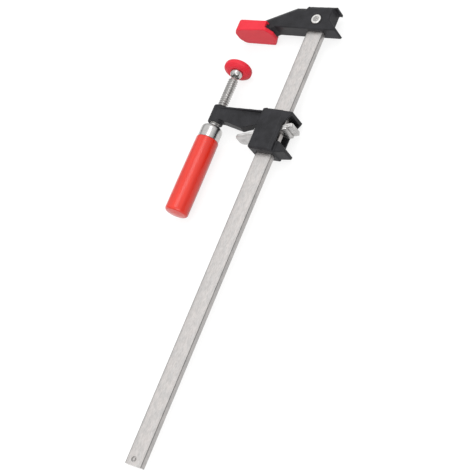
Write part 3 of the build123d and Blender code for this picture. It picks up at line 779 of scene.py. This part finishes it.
pressed_rivet = bevelled_copy("jaw_rivet", "pressed_rivet", RIVET_BEVEL)
dress(pressed_rivet, "bar", rivet_steel(), "rivet_steel", "jaw_rivet")

# %% [markdown]
# The bar is a plain flat length of drawn steel with rounded corners. It starts as a cube that is
# stretched to the packed bar's box. Its four long edges are the ones that run more than half its
# length, and they are bevelled.

# %% Bar stock
BAR_CORNER = 0.9 * MM
bar_low, bar_high = (Vector(corner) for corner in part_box("bar"))
bar_size = bar_high - bar_low
select_none()
bpy.ops.mesh.primitive_cube_add(size=1, location=(bar_low + bar_high) / 2)
drawn_bar = bpy.context.object
drawn_bar.name = drawn_bar.data.name = "drawn_bar"
bpy.ops.transform.resize(value=bar_size)
bpy.ops.object.transform_apply(location=True, rotation=True, scale=True)
bpy.ops.object.mode_set(mode="EDIT")
bpy.ops.mesh.select_mode(type="EDGE")
bpy.ops.mesh.select_all(action="DESELECT")
bpy.ops.object.mode_set(mode="OBJECT")
for edge in drawn_bar.data.edges:
    first, second = (drawn_bar.data.vertices[index].co for index in edge.vertices)
    edge.select = abs(first.y - second.y) > bar_size.y / 2
bpy.ops.object.mode_set(mode="EDIT")
bpy.ops.mesh.bevel(offset=BAR_CORNER, segments=4)
bpy.ops.object.mode_set(mode="OBJECT")
print("bar size in mm", [round(value / MM, 2) for value in drawn_bar.dimensions])

# %% [markdown]
# The rivet's shank passes through the bar, and near the free end a ring is punched into its upper
# face, deep enough to throw a shadow. A Boolean modifier cuts both: a cylinder for the hole, and a
# torus that stands a little proud of the face for the ring.

# %% Rivet hole and punched ring
SHANK_HOLE = 3.65 * MM
HOLE_DEPTH = 20 * MM
PUNCH_AT = Vector((71.5, -451.4)) * MM
PUNCH_RADIUS = 1.9 * MM
PUNCH_WIDE = 0.85 * MM
PUNCH_PROUD = 0.25 * MM


def cut_away(obj, cutter):
    """Cuts a second object, just added, out of the first, and throws the second away."""
    bpy.ops.object.transform_apply(location=True, rotation=True, scale=True)
    apply_modifier(obj, "BOOLEAN", operation="DIFFERENCE", object=cutter, solver="EXACT")
    bpy.data.objects.remove(cutter)


rivet_x, rivet_y = ((Vector(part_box("jaw_rivet")[0]) + Vector(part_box("jaw_rivet")[1])) / 2).xy
select_none()
bpy.ops.mesh.primitive_cylinder_add(
    vertices=48, radius=SHANK_HOLE, depth=HOLE_DEPTH, location=(rivet_x, rivet_y, 0),
)
cut_away(drawn_bar, bpy.context.object)
select_none()
bpy.ops.mesh.primitive_torus_add(
    major_radius=PUNCH_RADIUS, minor_radius=PUNCH_WIDE, major_segments=48, minor_segments=16,
    location=(PUNCH_AT.x, PUNCH_AT.y, bar_high.z + PUNCH_PROUD),
)
cut_away(drawn_bar, bpy.context.object)
clean(drawn_bar)
bpy.ops.object.shade_smooth_by_angle(angle=SHARP)
dress(drawn_bar, "bar", BAR_STEEL, "bar_steel", "bar")

# %% [markdown]
# The clutch spring sits between the casting and the plates, and a press on the release tab
# shortens it. A rigid spring would go through the plates. Here it is a copy of the packed one,
# smooth shaded, with a mesh of its own.

# %% Clutch spring
coil_spring = copy_node("clutch_spring", "coil_spring")
bpy.ops.object.shade_smooth_by_angle(angle=math.radians(50))
dress(coil_spring, "arm", SPRING_STEEL, "spring_steel", "clutch_spring")
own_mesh(coil_spring)

# %% [markdown]
# One packed node is right as it is: the little snap ring behind the ball. It only gets its steel.

# %% Snap ring
ring_mesh = frame["nodes"]["retaining_ring"].data
ring_mesh.materials.clear()
ring_mesh.materials.append(SPRING_STEEL)
print("snap ring", len(ring_mesh.polygons), "faces, kept as packed")

# %% [markdown]
# The floor is plain white paper. To the eye, and in the steel, it is white all over, but it still
# takes the clamp's soft shadow, because only part of its white is its own glow.

# %% Floor
FLOOR_SIZE = 8.0
FLOOR_DROP = 0.2 * MM
FLOOR_GLOW = 0.8
FLOOR_GREY = 0.25


def seen(nodes, links):
    """1 for what the camera, a mirror or a glass sees."""
    path = nodes.new("ShaderNodeLightPath")
    total = path.outputs["Is Camera Ray"]
    for name in ("Is Glossy Ray", "Is Transmission Ray"):
        either = nodes.new("ShaderNodeMath")
        either.operation = "MAXIMUM"
        links.new(total, either.inputs[0])
        links.new(path.outputs[name], either.inputs[1])
        total = either.outputs[0]
    return total


select_none()
floor_at = (0.08, -0.2, cad_box[0][2] - FLOOR_DROP)
bpy.ops.mesh.primitive_plane_add(size=FLOOR_SIZE, location=floor_at)
floor = bpy.context.object
floor.name = "floor"
floor_paper = bpy.data.materials.new("white paper")
floor_paper.use_nodes = True
paper_nodes, paper_links = floor_paper.node_tree.nodes, floor_paper.node_tree.links
paper = paper_nodes["Principled BSDF"]
paper.inputs["Base Color"].default_value = (FLOOR_GREY, FLOOR_GREY, FLOOR_GREY, 1)
paper.inputs["Roughness"].default_value = 0.9
paper.inputs["Specular IOR Level"].default_value = 0.0
paper.inputs["Emission Color"].default_value = (1, 1, 1, 1)
glow = paper_nodes.new("ShaderNodeMath")
glow.operation = "MULTIPLY"
glow.inputs[1].default_value = FLOOR_GLOW
paper_links.new(seen(paper_nodes, paper_links), glow.inputs[0])
paper_links.new(glow.outputs[0], paper.inputs["Emission Strength"])
floor.data.materials.append(floor_paper)
print("floor at", round(floor_at[2] / MM, 2), "mm, under the clamp's lowest point")

# %% [markdown]
# The room round the clamp is a studio: bright overhead and greyer towards the walls, which gives
# metal its darker edges. The height of the direction that a ray looks in sets how bright it is.

# %% Room
WALL_LIGHT = 0.35
CEILING_LIGHT = 1.0
CEILING_FROM = 0.7

world = bpy.data.worlds.new("studio room")
bpy.context.scene.world = world
world.use_nodes = True
room_nodes, room_links = world.node_tree.nodes, world.node_tree.links
background = room_nodes["Background"]
background.inputs["Color"].default_value = (1, 1, 1, 1)
outlook = room_nodes.new("ShaderNodeTexCoord").outputs["Generated"]
height = room_nodes.new("ShaderNodeSeparateXYZ")
room_links.new(outlook, height.inputs[0])
studio = room_nodes.new("ShaderNodeMapRange")
studio.interpolation_type = "SMOOTHSTEP"
studio.inputs["From Min"].default_value = 0.0
studio.inputs["From Max"].default_value = CEILING_FROM
studio.inputs["To Min"].default_value = WALL_LIGHT
studio.inputs["To Max"].default_value = CEILING_LIGHT
room_links.new(height.outputs["Z"], studio.inputs["Value"])
room_links.new(studio.outputs["Result"], background.inputs["Strength"])
print("room light from", WALL_LIGHT, "at the walls to", CEILING_LIGHT, "overhead")

# %% [markdown]
# Two soft boxes light the clamp. The key hangs high over it, a little beyond the jaws and off the
# bar's back. The fill stands lower, off the free end and the bar's back, and lights the sides that
# look towards the camera. It has more watts, because it meets the upper faces at a slant.

# %% Lamps
LAMP_AIM = Vector((0.05, -0.12, 0.0))


def soft_box(name, place, width, height, watts):
    """A rectangular lamp that looks at the clamp."""
    data = bpy.data.lights.new(name, "AREA")
    data.shape = "RECTANGLE"
    data.size = width
    data.size_y = height
    data.energy = watts
    lamp = bpy.data.objects.new(name, data)
    bpy.context.scene.collection.objects.link(lamp)
    lamp.location = place
    lamp.rotation_mode = "QUATERNION"
    lamp.rotation_quaternion = (LAMP_AIM - Vector(place)).to_track_quat("-Z", "Y")
    away = (LAMP_AIM - Vector(place)).length
    print(name, round(watts, 1), "watts,", round(away, 2), "m away")


soft_box("key light", (0.3, 0.25, 1.4), 0.6, 0.9, 3.6)
soft_box("fill light", (0.7, -1.3, 0.8), 0.8, 0.8, 7.0)

# %% [markdown]
# The picture is kept plain: standard colours, no tricks after the render.

# %% Finish
bpy.context.scene.view_settings.view_transform = "Standard"
